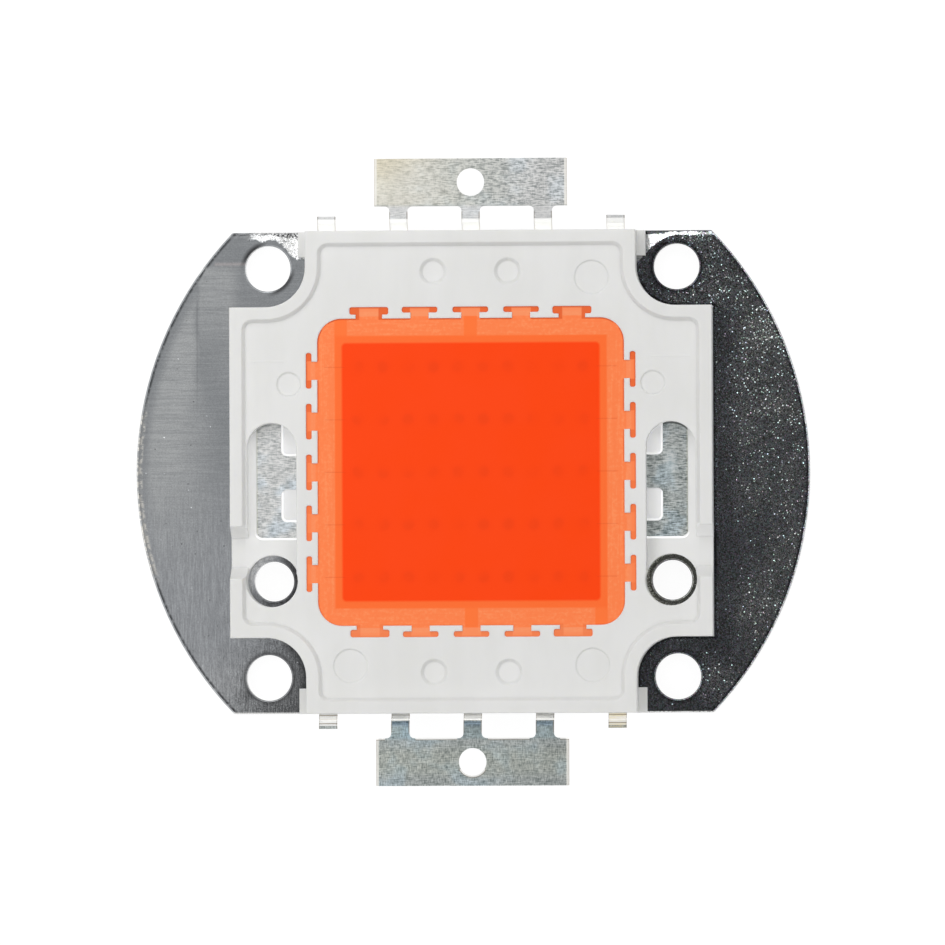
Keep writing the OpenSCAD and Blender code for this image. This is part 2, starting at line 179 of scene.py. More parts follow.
# Fine grain of a plated or moulded skin, stronger in patches
skin_grain, given, result = new_effect(
    "Skin grain", {"Position": "Vector", "Grains per mm": "Float", "Patches per mm": "Float"},
    {"Grain": "Float", "Patches": "Float"})
grains = put(
    skin_grain, "TexNoise",
    {"Vector": given["Position"], "Scale": given["Grains per mm"], "Detail": 2.0, "Roughness": 0.55})
patches = put(
    skin_grain, "TexNoise",
    {"Vector": given["Position"], "Scale": given["Patches per mm"], "Detail": 2.0, "Roughness": 0.5})
skin_grain.links.new(grains.outputs["Fac"], result["Grain"])
skin_grain.links.new(patches.outputs["Fac"], result["Patches"])

# Crystals of a plated skin: each small cell leans its own way,
# and a share of them leans further and glints
crystal_facets, given, result = new_effect(
    "Crystal facets",
    {"Position": "Vector", "Cells per mm": "Float", "Lean": "Float", "Glint share": "Float",
     "Glint lean": "Float"},
    {"Normal": "Vector", "Hue": "Color", "Shade": "Float"})
cells = put(crystal_facets, "TexVoronoi", {"Vector": given["Position"], "Scale": given["Cells per mm"]})
chance = put(crystal_facets, "TexWhiteNoise", {"Vector": cells.outputs["Position"]}).outputs["Value"]
glint = spread(crystal_facets, chance, 0.0, given["Glint share"], 1.0, 0.0, kind="LINEAR")
glint = times(crystal_facets, glint, glint)
lean = work_out(crystal_facets, "MULTIPLY_ADD", glint, given["Glint lean"], given["Lean"])
way = put(
    crystal_facets, "VectorMath", {0: cells.outputs["Color"], 1: (0.5, 0.5, 0.5)}, operation="SUBTRACT")
way = put(crystal_facets, "VectorMath", {0: way.outputs[0], "Scale": lean}, operation="SCALE")
upright = put(crystal_facets, "NewGeometry").outputs["Normal"]
leaning = put(crystal_facets, "VectorMath", {0: upright, 1: way.outputs[0]}, operation="ADD")
leaning = put(crystal_facets, "VectorMath", {0: leaning.outputs[0]}, operation="NORMALIZE")
crystal_facets.links.new(leaning.outputs[0], result["Normal"])
crystal_facets.links.new(cells.outputs["Color"], result["Hue"])
shade = put(crystal_facets, "SeparateColor", {0: cells.outputs["Color"]}).outputs["Blue"]
crystal_facets.links.new(shade, result["Shade"])

# A rectangle with rounded corners on the surface:
# how deep a point lies inside it, and a mask with a soft edge
rectangle, given, result = new_effect(
    "Rectangle",
    {"Position": "Vector", "Middle": "Vector", "Half size": "Vector", "Corner": "Float",
     "Soft edge": "Float"},
    {"Inside": "Float", "Depth": "Float"})
offset = put(rectangle, "VectorMath", {0: given["Position"], 1: given["Middle"]}, operation="SUBTRACT")
offset = put(rectangle, "VectorMath", {0: offset.outputs[0]}, operation="ABSOLUTE")
past = put(rectangle, "VectorMath", {0: offset.outputs[0], 1: given["Half size"]}, operation="SUBTRACT")
past = put(rectangle, "VectorMath", {0: past.outputs[0], 1: given["Corner"]}, operation="ADD")
past = put(rectangle, "VectorMath", {0: past.outputs[0], 1: (1, 1, 0)}, operation="MULTIPLY")
outward = put(rectangle, "VectorMath", {0: past.outputs[0], 1: (0, 0, 0)}, operation="MAXIMUM")
outward = put(rectangle, "VectorMath", {0: outward.outputs[0]}, operation="LENGTH").outputs["Value"]
past = put(rectangle, "SeparateXYZ", {0: past.outputs[0]})
inward = work_out(rectangle, "MINIMUM", most(rectangle, past.outputs["X"], past.outputs["Y"]), 0.0)
depth = work_out(rectangle, "SUBTRACT", given["Corner"], work_out(rectangle, "ADD", outward, inward))
outer = times(rectangle, given["Soft edge"], -1.0)
rectangle.links.new(depth, result["Depth"])
rectangle.links.new(spread(rectangle, depth, outer, given["Soft edge"], 0.0, 1.0), result["Inside"])

plating, tree, shader, where = new_finish("Nickel plating")
x, y, z = put(tree, "SeparateXYZ", {0: where}).outputs
out_x = work_out(tree, "ABSOLUTE", x)
out_y = work_out(tree, "ABSOLUTE", y)
on_left = work_out(tree, "LESS_THAN", x, 0.0)
across = use(tree, brush_lines, Position=where, Lines_per_mm=(0.35, 9.0, 9.0))["Lines"]
along = use(tree, brush_lines, Position=where, Lines_per_mm=(9.0, 0.8, 9.0))["Lines"]
skin = use(tree, skin_grain, Position=where, Grains_per_mm=3.0, Patches_per_mm=0.16)
lower_part = spread(tree, y, 4.0, -8.0, 0.0, 1.0)
lines = choose(tree, lower_part, across, along)
dulled = spread(tree, skin["Patches"], 0.35, 0.65, 0.0, 1.0)
plating_tone = tint(tree, dulled, (0.325, 0.34, 0.355, 1), (0.36, 0.375, 0.39, 1))
# Painted sheen: the left end is lighter towards its lower part and lightest at the bottom
low_left = times(tree, spread(tree, y, 3.0, -10.0, 0.0, 0.55), on_left)
plating_tone = tint(tree, low_left, plating_tone, (0.46, 0.475, 0.50, 1))
lowest = times(tree, spread(tree, y, -14.0, -18.0, 0.0, 0.5), on_left)
plating_tone = tint(tree, lowest, plating_tone, (0.57, 0.58, 0.59, 1))
line_share = times(
    tree, spread(tree, lines, 0.45, 0.7, 0.0, 0.24),
    work_out(tree, "MULTIPLY_ADD", lower_part, 0.5, 1.0))
plating_tone = tint(tree, line_share, plating_tone, (0.48, 0.50, 0.51, 1))
woven = times(
    tree, work_out(tree, "SUBTRACT", lines, 0.5), work_out(tree, "MULTIPLY_ADD", lower_part, 0.6, 0.2))
plating_tone = tint(tree, 1.0, plating_tone, work_out(tree, "ADD", woven, 1.0), blend="MULTIPLY")

# The shears rolled the rounded ends over, so the distance from that edge matters below
plate_half_mm = cad_box[1][0] * 1000
arc_shift_mm = 0.8
from_centre = work_out(tree, "POWER", work_out(tree, "ADD", out_x, arc_shift_mm), 2.0)
from_centre = work_out(
    tree, "SQRT", work_out(tree, "ADD", from_centre, work_out(tree, "POWER", out_y, 2.0)))
inset = work_out(tree, "SUBTRACT", plate_half_mm + arc_shift_mm, from_centre)

# Painted sheen: two light strokes along the brush lines make the left end lighter, the long one along
# its curve
sway = put(tree, "TexNoise", {"Vector": where, "Scale": 0.45, "Detail": 4.0}).outputs["Fac"]
sway = work_out(tree, "SUBTRACT", sway, 0.5)
stroke_x = work_out(tree, "MULTIPLY_ADD", sway, 1.2, x)
stroke_y = work_out(tree, "MULTIPLY_ADD", sway, 5.0, y)
stroke_from_mm = -22.9
blur = spread(tree, y, 10.0, 1.0, 0.5, 2.4)
stroke_in = work_out(tree, "ADD", blur, stroke_from_mm)
stroke_out = work_out(tree, "SUBTRACT", stroke_from_mm, blur)
stroke = times(
    tree, spread(tree, stroke_x, stroke_in, stroke_out, 0.0, 1.0),
    spread(tree, inset, 0.4, 1.4, 0.0, 1.0), spread(tree, stroke_y, -11.0, 3.0, 0.0, 1.0))
high_stroke = times(
    tree, spread(tree, stroke_x, -23.0, -22.5, 0.0, 0.85),
    spread(tree, stroke_x, -18.8, -20.4, 0.0, 1.0), spread(tree, y, 17.4, 16.9, 0.0, 1.0),
    spread(tree, stroke_y, 6.0, 16.5, 0.0, 1.0))
sheen_strokes = most(tree, stroke, high_stroke)
sheen_strokes = times(tree, sheen_strokes, spread(tree, lines, 0.32, 0.62, 0.5, 1.0), on_left)
plating_tone = tint(tree, sheen_strokes, plating_tone, (0.54, 0.555, 0.56, 1))
# Painted highlight: a pinkish light line runs to the upper hole's left edge
by_hole = use(
    tree, rectangle, Position=where, Middle=(-20.1, 17.4, 0), Half_size=(1.3, 0.12, 1), Soft_edge=0.12)
plating_tone = tint(tree, times(tree, by_hole["Inside"], 0.5), plating_tone, (0.66, 0.60, 0.60, 1))
# A dark line, painted with the sheen, edges its upper stroke
stroke_edge = away_from(tree, x, stroke_from_mm)
stroke_edge = times(
    tree, spread(tree, stroke_edge, 0.03, 0.12, 0.3, 0.0), spread(tree, stroke_y, 4.5, 8.5, 0.0, 1.0),
    spread(tree, y, 15.0, 13.5, 0.0, 1.0))
plating_tone = tint(tree, stroke_edge, plating_tone, (0.22, 0.23, 0.24, 1))

# A painted dark reflection runs just inside the rolled edge, and a painted highlight makes the edge
# bright on the left
edge_highlight = times(
    tree, spread(tree, inset, 0.35, 0.6, 1.0, 0.0), spread(tree, y, 7.0, 4.0, 0.0, 1.0),
    spread(tree, y, -10.0, -7.0, 0.0, 1.0), on_left)
edge_highlight_grains = times(tree, edge_highlight, spread(tree, skin["Grain"], 0.42, 0.58, 0.1, 0.9))
plating_tone = tint(tree, edge_highlight_grains, plating_tone, (0.80, 0.78, 0.73, 1))
edge_dark_reflection = times(
    tree, spread(tree, inset, 0.1, 0.18, 0.0, 1.0), spread(tree, inset, 0.22, 0.4, 1.0, 0.0),
    spread(tree, skin["Grain"], 0.35, 0.55, 0.25, 0.95), left_over(tree, times(tree, edge_highlight, 0.6)))
plating_tone = tint(tree, edge_dark_reflection, plating_tone, (0.08, 0.085, 0.09, 1))

# Painted dark reflections ring the corner holes' rolled edges; painted shade rings the lens holes at the
# foot of their bores, with a painted highlight on one side
corner_hole_mm = 17.0
hole_radius_mm = 1.9
slant_span_mm = 2.69
lens_hole_mm = (16.55, -9.0, 0)
lens_ring_mm = 2.25
folded = put(tree, "CombineXYZ", {"X": out_x, "Y": out_y}).outputs[0]
to_hole = distance(tree, folded, (corner_hole_mm, corner_hole_mm, 0))
to_hole = work_out(tree, "SUBTRACT", to_hole, hole_radius_mm)
slant = work_out(tree, "ADD", work_out(tree, "SUBTRACT", x, y), 2 * corner_hole_mm)
slant = work_out(tree, "ABSOLUTE", work_out(tree, "DIVIDE", slant, slant_span_mm))
hole_dark_reflection = times(
    tree, spread(tree, to_hole, 0.05, 0.5, 1.0, 0.0), spread(tree, slant, 0.75, 1.05, 0.0, 0.95),
    spread(tree, y, -5.0, 5.0, 0.6, 1.0))
sided = put(tree, "CombineXYZ", {"X": out_x, "Y": y}).outputs[0]
to_lens = distance(tree, sided, lens_hole_mm)
in_ring = work_out(tree, "LESS_THAN", to_lens, lens_ring_mm)
lee_from_mm = 0.8 * lens_hole_mm[0] + 0.6 * lens_hole_mm[1]
lee = work_out(tree, "ADD", times(tree, x, 0.8), lee_from_mm)
lee = work_out(tree, "SUBTRACT", lee, times(tree, y, 0.6))
foot = times(tree, in_ring, spread(tree, lee, -1.8, 1.6, 0.1, 0.85))
facing = put(tree, "SeparateXYZ", {0: put(tree, "NewGeometry").outputs["Normal"]}).outputs["Z"]
flat = spread(tree, facing, 0.9, 0.99, 0.0, 1.0)
foot = times(
    tree, foot, left_over(tree, times(tree, flat, spread(tree, x, -2.0, 2.0, 0.0, 0.8))),
    spread(tree, skin["Grain"], 0.38, 0.62, 0.7, 1.15))
plating_tone = tint(tree, most(tree, hole_dark_reflection, foot), plating_tone, (0.05, 0.05, 0.052, 1))
bright_foot = times(
    tree, in_ring, spread(tree, lee, -0.6, -1.8, 0.0, 0.5),
    spread(tree, skin["Grain"], 0.38, 0.58, 0.45, 1.0))
plating_tone = tint(tree, bright_foot, plating_tone, (0.86, 0.86, 0.86, 1))

# How far a point lies from the moulding's foot in the notches round the corner holes, and painted shade
# there
notch_mm = 23.7
notch_half_mm = 10.0
notch = use(
    tree, rectangle, Position=folded, Middle=(notch_mm, notch_mm, 0),
    Half_size=(notch_half_mm, notch_half_mm, 1), Corner=3.3)["Depth"]
by_arc = times(
    tree, spread(tree, notch, 0.0, 1.1, 0.75, 0.0), spread(tree, out_x, 16.4, 15.2, 0.0, 1.0),
    work_out(tree, "LESS_THAN", y, 0.0))
shade_spot = distance(tree, where, (-18.7, -18.45, 2.0))
shade_spot = work_out(tree, "MULTIPLY_ADD", sway, 1.2, shade_spot)
by_arc = most(tree, by_arc, spread(tree, shade_spot, 0.25, 0.95, 0.6, 0.0))
plating_tone = tint(tree, by_arc, plating_tone, (0.10, 0.10, 0.105, 1))

# The punch drew the narrow web behind the upper holes down; painted highlights show its roll catching
# the light in patches, up to a painted dark reflection at the edge
roll_noise = put(
    tree, "TexNoise", {"Vector": where, "Scale": 2.0, "Detail": 4.0, "Roughness": 0.6}).outputs["Fac"]
left_start = work_out(
    tree, "SUBTRACT", spread(tree, out_x, 19.6, 16.8, 19.45, 19.25),
    spread(tree, out_x, 16.3, 14.6, 0.0, 1.45))
sweep = work_out(tree, "MAXIMUM", work_out(tree, "SUBTRACT", 17.2, out_x), 0.0)
right_start = work_out(tree, "SUBTRACT", 19.60, times(tree, work_out(tree, "POWER", sweep, 2.0), 0.2))
roll_start = choose(tree, on_left, right_start, left_start)
jagged = choose(tree, on_left, 0.35, 0.9)
roll_start = work_out(
    tree, "MULTIPLY_ADD", work_out(tree, "SUBTRACT", roll_noise, 0.5), jagged, roll_start)
drop = work_out(tree, "SUBTRACT", y, roll_start)
reach = choose(
    tree, on_left, spread(tree, out_x, 19.4, 17.0, 0.12, 1.0),
    spread(tree, out_x, 18.9, 17.6, 0.08, 1.0))
roll_highlight = times(tree, spread(tree, drop, 0.0, 0.16, 0.0, 1.0), reach)
least = choose(tree, on_left, 0.4, 0.7)
roll_highlight = times(tree, roll_highlight, spread(tree, across, 0.38, 0.5, least, 1.0))
plating_tone = tint(tree, roll_highlight, plating_tone, (0.97, 0.975, 0.975, 1))
edge_right = work_out(tree, "SUBTRACT", 19.83, spread(tree, out_x, 17.4, 15.0, 0.0, 0.2))
edge_left = work_out(tree, "SUBTRACT", 19.74, spread(tree, out_x, 16.8, 15.2, 0.0, 0.24))
edge_from = choose(tree, on_left, edge_right, edge_left)
dark_edge = work_out(tree, "SUBTRACT", work_out(tree, "MULTIPLY_ADD", roll_noise, 0.5, y), 0.25)
dark_edge = spread(tree, work_out(tree, "SUBTRACT", dark_edge, edge_from), 0.0, 0.08, 0.0, 0.95)
top_share = choose(tree, on_left, 0.95, 0.4)
dark_edge = times(tree, dark_edge, spread(tree, y, 19.9, 19.95, 1.0, top_share))
edge_share = choose(tree, on_left, 1.0, spread(tree, out_x, 18.6, 16.4, 0.6, 1.0))
edge_breakup = put(tree, "TexNoise", {"Vector": where, "Scale": 6.0, "Detail": 2.0}).outputs["Fac"]
edge_share = times(
    tree, edge_share, choose(tree, on_left, 1.0, spread(tree, edge_breakup, 0.42, 0.56, 0.25, 1.0)))
dark_edge = times(tree, dark_edge, edge_share)
plating_tone = tint(tree, dark_edge, plating_tone, (0.04, 0.042, 0.045, 1))
# Painted highlight: a light line along the lower edge
plating_tone = tint(tree, spread(tree, y, -19.8, -19.88, 0.0, 0.9), plating_tone, (0.95, 0.95, 0.94, 1))
shader.inputs["Metallic"].default_value = 1.0
tree.links.new(spread(tree, skin["Patches"], 0.3, 0.7, 0.08, 0.12), shader.inputs["Roughness"])

# Crystals glint on the right end, most towards its outer edge and its top
to_right = spread(tree, x, -2.0, 2.0, 0.0, 1.0)
crystals = times(tree, spread(tree, x, 20.4, 24.2, 0.06, 1.0), spread(tree, y, -3.0, 9.0, 0.3, 1.0))
low_glints = distance(tree, where, (24.2, -12.2, 2.0))
crystals = most(tree, crystals, spread(tree, low_glints, 3.4, 0.8, 0.0, 0.6))
low_glints = distance(tree, where, (20.6, -17.2, 2.0))
crystals = most(tree, crystals, spread(tree, low_glints, 3.2, 0.8, 0.0, 0.35))
high_part = times(
    tree, spread(tree, y, 12.5, 14.5, 0.0, 0.8), spread(tree, out_x, 14.5, 17.0, 0.0, 1.0))
crystals = most(tree, crystals, high_part)
crystals = times(tree, crystals, spread(tree, skin["Patches"], 0.38, 0.62, 0.5, 1.5))
facing_up = spread(tree, facing, 0.3, 0.8, 0.0, 1.0)
crystals = times(tree, crystals, to_right, facing_up)
facets = use(
    tree, crystal_facets, Position=where, Cells_per_mm=12.5,
    Lean=work_out(tree, "MULTIPLY_ADD", to_right, 0.04, 0.02),
    Glint_share=work_out(tree, "MULTIPLY_ADD", crystals, 0.7, 0.006), Glint_lean=0.5)
line_bump = bumps(tree, lines, 0.000003, facets["Normal"])
fold = times(tree, work_out(tree, "MAXIMUM", drop, 0.0), -0.28, choose(tree, on_left, 1.0, reach))
roll_bump = bumps(tree, fold, 0.001, line_bump)
tree.links.new(roll_bump, shader.inputs["Normal"])
plating_tone = tint(tree, times(tree, to_right, 0.28), plating_tone, facets["Hue"], blend="SOFT_LIGHT")
uneven = work_out(tree, "MULTIPLY_ADD", to_right, 1.3, 0.2)
uneven = times(tree, uneven, work_out(tree, "SUBTRACT", facets["Shade"], 0.32))
# Painted glints: the cells that glint, and where they gather, are painted lighter as well
glint_specks = times(tree, work_out(tree, "POWER", facets["Shade"], 4.0), crystals, 5.0)
uneven = work_out(tree, "MINIMUM", work_out(tree, "ADD", uneven, glint_specks), 1.8)
uneven = work_out(tree, "MULTIPLY_ADD", crystals, 0.2, uneven)
uneven = times(
    tree, uneven, work_out(tree, "MULTIPLY_ADD", facing_up, 0.85, 0.15), left_over(tree, roll_highlight))
# Painted shade: the right end is darker close to the moulding's side
uneven = work_out(
    tree, "SUBTRACT", uneven, times(tree, to_right, spread(tree, out_x, 20.0, 23.5, 0.3, 0.0)))
plating_tone = tint(tree, 1.0, plating_tone, work_out(tree, "ADD", uneven, 1.0), blend="MULTIPLY")

# The sides show the marks of the shears: burnished above, torn and duller below
shear_marks = use(tree, brush_lines, Position=where, Lines_per_mm=(4.0, 4.0, 0.5))["Lines"]
torn = spread(tree, work_out(tree, "MULTIPLY_ADD", shear_marks, 0.6, z), 1.25, 1.05, 0.0, 1.0)
side_tone = tint(tree, torn, (0.60, 0.61, 0.62, 1), (0.40, 0.395, 0.385, 1))
side_tone = tint(tree, spread(tree, shear_marks, 0.4, 0.65, 0.0, 0.6), side_tone, (0.74, 0.74, 0.73, 1))
on_side = most(tree, spread(tree, inset, 0.4, 0.2, 0.0, 0.9), spread(tree, out_y, 19.6, 19.8, 0.0, 0.9))
on_side = times(tree, on_side, left_over(tree, facing_up))
plating_tone = tint(tree, on_side, plating_tone, side_tone)

# Painted shade darkens the right end close to the moulding, and a painted reflection makes it paler in
# the lens hole's ring
at_foot = times(
    tree, spread(tree, notch, 0.1, 0.32, 0.85, 0.0), work_out(tree, "GREATER_THAN", notch, 0.0),
    spread(tree, out_x, 20.4, 20.1, 0.0, 1.0))
beside = times(
    tree, spread(tree, out_x, 20.12, 20.34, 0.85, 0.0), work_out(tree, "GREATER_THAN", out_x, 19.9),
    spread(tree, out_y, 13.8, 13.6, 0.0, 1.0))
at_foot = most(tree, at_foot, beside)
at_foot = times(tree, at_foot, work_out(tree, "SUBTRACT", to_right, roll_highlight), facing_up)
plating_tone = tint(tree, at_foot, plating_tone, (0.02, 0.02, 0.022, 1))
ring_right = times(tree, in_ring, to_right, flat, spread(tree, facets["Shade"], 0.1, 0.9, 0.35, 0.85))
plating_tone = tint(tree, ring_right, plating_tone, (0.66, 0.67, 0.58, 1))
tree.links.new(plating_tone, shader.inputs["Base Color"])
base_plate = dress("base_plate", plating)
round_edges(base_plate, radius_mm=0.12, steps=3)

# Moulded frame.
# White heat-proof plastic, moulded round the base plate and the two leads in one shot.
# Six tapered plugs of it run into holes of the plate and lock it there.
moulding, tree, shader, where = new_finish("White moulding")
x, y, z = put(tree, "SeparateXYZ", {0: where}).outputs
out_x = work_out(tree, "ABSOLUTE", x)
skin = use(tree, skin_grain, Position=where, Grains_per_mm=5.0, Patches_per_mm=0.12)
flow = use(tree, brush_lines, Position=where, Lines_per_mm=(0.5, 0.12, 0.5))["Lines"]
cloud = times(tree, work_out(tree, "ADD", skin["Patches"], flow), 0.5)
moulding_tone = tint(
    tree, spread(tree, cloud, 0.35, 0.65, 0.0, 1.0), (0.785, 0.785, 0.77, 1), (0.815, 0.815, 0.805, 1))

# The pockets' floors, with the islands painted lighter against the shade of the pockets' walls, and
# painted highlights where the plastic met the strips
pocket_x_mm = 16.55
island_x_mm = 14.85
sided = put(tree, "CombineXYZ", {"X": out_x, "Y": y}).outputs[0]
pocket = use(
    tree, rectangle, Position=sided, Middle=(pocket_x_mm, -3.5, 0), Half_size=(2.3, 7.8, 1),
    Soft_edge=0.05)["Inside"]
on_floor = times(tree, pocket, spread(tree, z, 2.6, 2.7, 1.0, 0.0))
moulding_tone = tint(tree, on_floor, moulding_tone, (0.82, 0.82, 0.81, 1))
strip_corner_mm = 0.5
highlight_width_mm = 0.2
upper_island = use(
    tree, rectangle, Position=sided, Middle=(island_x_mm, 3.375, 0), Half_size=(1.0, 2.0, 1),
    Corner=strip_corner_mm)["Depth"]
lower_island = use(
    tree, rectangle, Position=sided, Middle=(island_x_mm, -2.4, 0), Half_size=(1.0, 1.7, 1),
    Corner=strip_corner_mm)["Depth"]
strip_edge = use(
    tree, rectangle, Position=sided, Middle=(15.9, -0.5, 0), Half_size=(2.0, 4.9, 1),
    Corner=strip_corner_mm)["Depth"]
islands = most(tree, upper_island, lower_island)
on_islands = times(tree, work_out(tree, "GREATER_THAN", islands, 0.0), on_floor)
island_tone = spread(tree, y, 0.0, 2.0, 0.87, 0.95)
moulding_tone = tint(tree, on_islands, moulding_tone, island_tone)
inner_side = work_out(tree, "LESS_THAN", out_x, island_x_mm + 1.0)
strip_edge_highlight = spread(tree, islands, highlight_width_mm, 0.6 * highlight_width_mm, 0.0, 1.0)
strip_edge_highlight = times(tree, strip_edge_highlight, on_islands, inner_side)
end_highlight = times(
    tree, spread(tree, strip_edge, -highlight_width_mm, -0.6 * highlight_width_mm, 0.0, 1.0),
    spread(tree, y, -4.9, -5.3, 0.0, 1.0))
strip_edge_highlight = times(tree, most(tree, strip_edge_highlight, end_highlight), on_floor)
moulding_tone = tint(tree, strip_edge_highlight, moulding_tone, (0.99, 0.99, 0.98, 1))
tree.links.new(moulding_tone, shader.inputs["Base Color"])

# Painted glow: the plastic passes light on, so narrow floors, walls, the small ramps in the rim and the
# highlights by the strips glow to stay bright
outer_side = times(
    tree, spread(tree, out_x, 17.6, 17.9, 0.0, 1.0), pocket, spread(tree, z, 3.6, 3.75, 1.0, 0.0),
    spread(tree, y, 4.6, 2.0, 0.25, 1.0), spread(tree, y, -6.5, -4.5, 0.0, 1.0))
ramp = use(
    tree, rectangle, Position=sided, Middle=(19.5, -4.93, 0), Half_size=(0.9, 0.6, 1),
    Soft_edge=0.06)["Inside"]
upright = put(tree, "SeparateXYZ", {0: put(tree, "NewGeometry").outputs["Normal"]}).outputs["Z"]
ramp = times(
    tree, ramp, spread(tree, upright, 0.9, 0.97, 1.0, 0.0), spread(tree, z, 4.2, 4.28, 1.0, 0.0),
    spread(tree, x, -2.0, 2.0, 0.2, 0.45))
on_right_islands = times(tree, on_islands, spread(tree, x, 14.4, 14.6, 0.0, 0.17))
passed_on = times(tree, outer_side, spread(tree, x, -2.0, 2.0, 0.34, 0.2))
passed_on = most(tree, passed_on, strip_edge_highlight, on_right_islands, ramp)
tree.links.new(passed_on, shader.inputs["Emission Color"])
shader.inputs["Emission Strength"].default_value = 0.3
tree.links.new(spread(tree, skin["Grain"], 0.3, 0.7, 0.42, 0.52), shader.inputs["Roughness"])
shader.inputs["Specular IOR Level"].default_value = 0.4
shader.inputs["Subsurface Weight"].default_value = 0.6
shader.inputs["Subsurface Radius"].default_value = (1.0, 1.0, 0.9)
shader.inputs["Subsurface Scale"].default_value = 0.0003
soft_edges = put(tree, "Bevel", {"Radius": 0.00016}, samples=8)
grain_bump = bumps(tree, skin["Grain"], 0.000004, soft_edges.outputs[0])

# Two fine lines that joints of the mould leave on the land above the pockets
fine_line = {"Position": where, "Soft_edge": 0.08}
left_line = use(tree, rectangle, Middle=(-16.9, 9.2, 0), Half_size=(1.4, 0.05, 1), **fine_line)
right_line = use(tree, rectangle, Middle=(16.4, 9.5, 0), Half_size=(1.8, 0.05, 1), **fine_line)
witness = work_out(tree, "ADD", left_line["Inside"], right_line["Inside"])
witness_bump = bumps(tree, witness, 0.00002, grain_bump)
tree.links.new(witness_bump, shader.inputs["Normal"])
dress("moulded_frame", moulding)

# Leads.
# Two stampings of thin tinned sheet, lined by the roller and bent up where they leave the frame.
# The moulding holds them, and each ends in a tab for a supply wire.
tinned, tree, shader, where = new_finish("Tinned sheet")
x, y = put(tree, "SeparateXYZ", {0: where}).outputs[:2]
out_x = work_out(tree, "ABSOLUTE", x)
out_y = work_out(tree, "ABSOLUTE", y)
in_pockets = spread(tree, out_y, 8.0, 7.0, 0.0, 1.0)
dashes = use(tree, brush_lines, Position=where, Lines_per_mm=(1.6, 10.0, 10.0))["Lines"]
weave = use(tree, brush_lines, Position=where, Lines_per_mm=(10.0, 2.4, 10.0))["Lines"]
skin = use(tree, skin_grain, Position=where, Grains_per_mm=3.0, Patches_per_mm=0.4)
lay = choose(tree, spread(tree, y, -19.0, -21.0, 0.2, 0.5), dashes, weave)
lay = work_out(
    tree, "MULTIPLY_ADD", work_out(tree, "SUBTRACT", skin["Grain"], 0.5),
    spread(tree, y, -19.0, -21.0, 0.35, 0.22), lay)
on_right_strip = times(tree, spread(tree, x, 13.5, 14.0, 0.0, 1.0), in_pockets)
on_upper_tab = spread(tree, y, 21.8, 22.3, 0.0, 1.0)
lively = work_out(tree, "MULTIPLY_ADD", on_right_strip, 0.3, 1.15)
lively = work_out(tree, "MULTIPLY_ADD", on_upper_tab, spread(tree, x, -7.0, 5.0, 0.25, 0.6), lively)
lay = work_out(tree, "MULTIPLY_ADD", work_out(tree, "SUBTRACT", lay, 0.5), lively, 0.5)
shine = spread(tree, lay, 0.30, 0.63, 0.0, 1.0, kind="LINEAR")
# Painted light and shade: a lit copy of the tin to the upper left, a shaded one towards the far lower
# right corner
lit_tin = tint(tree, shine, (0.39, 0.415, 0.415, 1), (1.0, 1.0, 0.99, 1))
shaded_tin = tint(tree, shine, (0.18, 0.225, 0.22, 1), (0.87, 0.915, 0.90, 1))
far_corner = work_out(tree, "SUBTRACT", times(tree, x, 0.6), y)
tin_tone = tint(tree, spread(tree, far_corner, -8.0, 13.0, 0.0, 1.0), lit_tin, shaded_tin)
bluish = times(
    tree, spread(tree, skin["Patches"], 0.48, 0.66, 0.0, 0.7),
    left_over(tree, times(tree, on_upper_tab, 0.4)))
tin_tone = tint(tree, bluish, tin_tone, (0.84, 0.93, 1.02, 1), blend="MULTIPLY")
lower_tab_mm = -24.0
from_middle = away_from(tree, y, lower_tab_mm)
tin_tone = tint(
    tree, spread(tree, from_middle, 1.7, 0.5, 0.0, 0.6), tin_tone, (1.03, 1.01, 0.92, 1),
    blend="MULTIPLY")
tab_middle = times(tree, on_upper_tab, spread(tree, out_x, 5.0, 1.5, 0.0, 1.0))
tin_tone = tint(tree, tab_middle, tin_tone, (0.91, 0.92, 0.89, 1), blend="MULTIPLY")
straw = times(tree, spread(tree, x, 2.0, -7.0, 0.0, 0.5), on_upper_tab)
tin_tone = tint(tree, straw, tin_tone, (1.0, 0.955, 0.78, 1))
peach = work_out(tree, "SUBTRACT", times(tree, y, 1.6), x)
peach = times(tree, spread(tree, peach, 43.0, 49.0, 0.0, 0.55), on_upper_tab)
tin_tone = tint(tree, peach, tin_tone, (1.0, 0.92, 0.74, 1), blend="MULTIPLY")
strip_side = times(tree, spread(tree, out_x, 17.75, 17.9, 0.0, 0.45), in_pockets)
tin_tone = tint(tree, strip_side, tin_tone, (0.72, 0.73, 0.52, 1))

# A lighter cloud of tin in the middle of the right strip
cloud = put(tree, "VectorMath", {0: where, 1: (16.5, 0.8, 0)}, operation="SUBTRACT").outputs[0]
cloud = put(tree, "VectorMath", {0: cloud, 1: (1.4, 0.75, 0)}, operation="MULTIPLY").outputs[0]
cloud = put(tree, "VectorMath", {0: cloud}, operation="LENGTH").outputs["Value"]
tin_tone = tint(
    tree, spread(tree, cloud, 0.3, 1.2, 1.0, 0.0), tin_tone, (0.33, 0.42, 0.45, 1), blend="SCREEN")

# A shadow line where the strips run in under the pockets' round ends
pocket_end_mm = (pocket_x_mm, 2.05, 0)
sided = put(tree, "CombineXYZ", {"X": out_x, "Y": y}).outputs[0]
to_end = distance(tree, sided, pocket_end_mm)
under_end = times(
    tree, spread(tree, to_end, 1.82, 1.96, 0.0, 1.0), spread(tree, y, 2.6, 3.2, 0.0, 1.0), in_pockets,
    spread(tree, x, -2.0, 2.0, 0.35, 0.85))
tin_tone = tint(tree, under_end, tin_tone, (0.14, 0.15, 0.155, 1))

